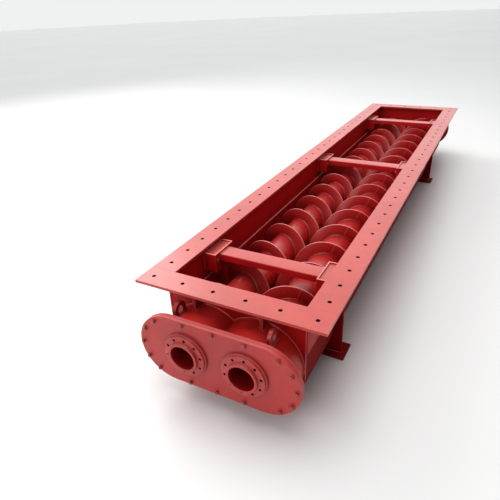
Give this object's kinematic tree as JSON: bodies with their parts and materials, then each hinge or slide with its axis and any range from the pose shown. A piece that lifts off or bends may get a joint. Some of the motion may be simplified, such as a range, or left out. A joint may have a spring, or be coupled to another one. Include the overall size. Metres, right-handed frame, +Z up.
{
  "type": "open twin-screw conveyor with meshing mirrored screws",
  "caption": "Open-topped twin-screw conveyor: a flanged trough on short legs with two mirrored meshing screws, cross braces and bolted end plates with shaft bores.",
  "frame": {"origin": "on the floor under the middle of the machine, at the bottom centre of its box", "axes": "+Z up, +Y along the screws towards the far end, so the seen end with its bolted end plate is at -Y, +X to the right as seen from the -Y end"},
  "size_m": [1, 4.8382, 0.56],
  "materials": {
    "frame_paint": "semi-gloss red enamel over steel plate",
    "wall_paint": "semi-gloss red enamel, slightly dusty, over steel sheet",
    "end_paint": "satin red enamel over machined steel",
    "screw_paint": "semi-gloss red enamel over welded flighting and tube"
  },
  "bodies": {
    "frame": {"flange_bar_front": "frame_paint", "flange_bar_rear": "frame_paint", "flange_bar_left": "frame_paint", "flange_bar_right": "frame_paint", "side_wall_left": "wall_paint", "side_wall_right": "wall_paint", "trough_left": "wall_paint", "trough_right": "wall_paint", "end_wall_front": "wall_paint", "end_wall_rear": "wall_paint", "shroud_front": "end_paint", "shroud_rear": "end_paint", "end_flange_front": "end_paint", "end_flange_rear": "end_paint", "end_plate_front": "end_paint", "end_plate_rear": "end_paint", "seal_flange_front_left": "end_paint", "seal_flange_front_right": "end_paint", "seal_flange_rear_left": "end_paint", "seal_flange_rear_right": "end_paint", "lifting_lug_front_left": "frame_paint", "lifting_lug_front_right": "frame_paint", "lifting_lug_rear_left": "frame_paint", "lifting_lug_rear_right": "frame_paint", "gusset_front_left": "frame_paint", "gusset_front_right": "frame_paint", "gusset_rear_left": "frame_paint", "gusset_rear_right": "frame_paint", "brace_front": "frame_paint", "brace_middle": "frame_paint", "brace_rear": "frame_paint", "bracket_front_left": "frame_paint", "bracket_front_right": "frame_paint", "bracket_middle_left": "frame_paint", "bracket_middle_right": "frame_paint", "bracket_rear_left": "frame_paint", "bracket_rear_right": "frame_paint", "leg_front_left": "frame_paint", "leg_front_right": "frame_paint", "leg_rear_left": "frame_paint", "leg_rear_right": "frame_paint"},
    "screw_left": {"shaft_left": "screw_paint", "flighting_left": "screw_paint"},
    "screw_right": {"shaft_right": "screw_paint", "flighting_right": "screw_paint"}
  },
  "joints": [
    {"name": "screw_left_turn", "type": "hinge", "parent": "frame", "child": "screw_left", "pos_m": [-0.158, 0, 0.286], "axis": [0, 1, 0], "continuous": true},
    {"name": "screw_right_turn", "type": "hinge", "parent": "frame", "child": "screw_right", "pos_m": [0.158, 0, 0.286], "axis": [0, 1, 0], "continuous": true}
  ],
  "couplings": [
    {"joint": "screw_right_turn", "follows": "screw_left_turn", "ratio": -1}
  ]
}
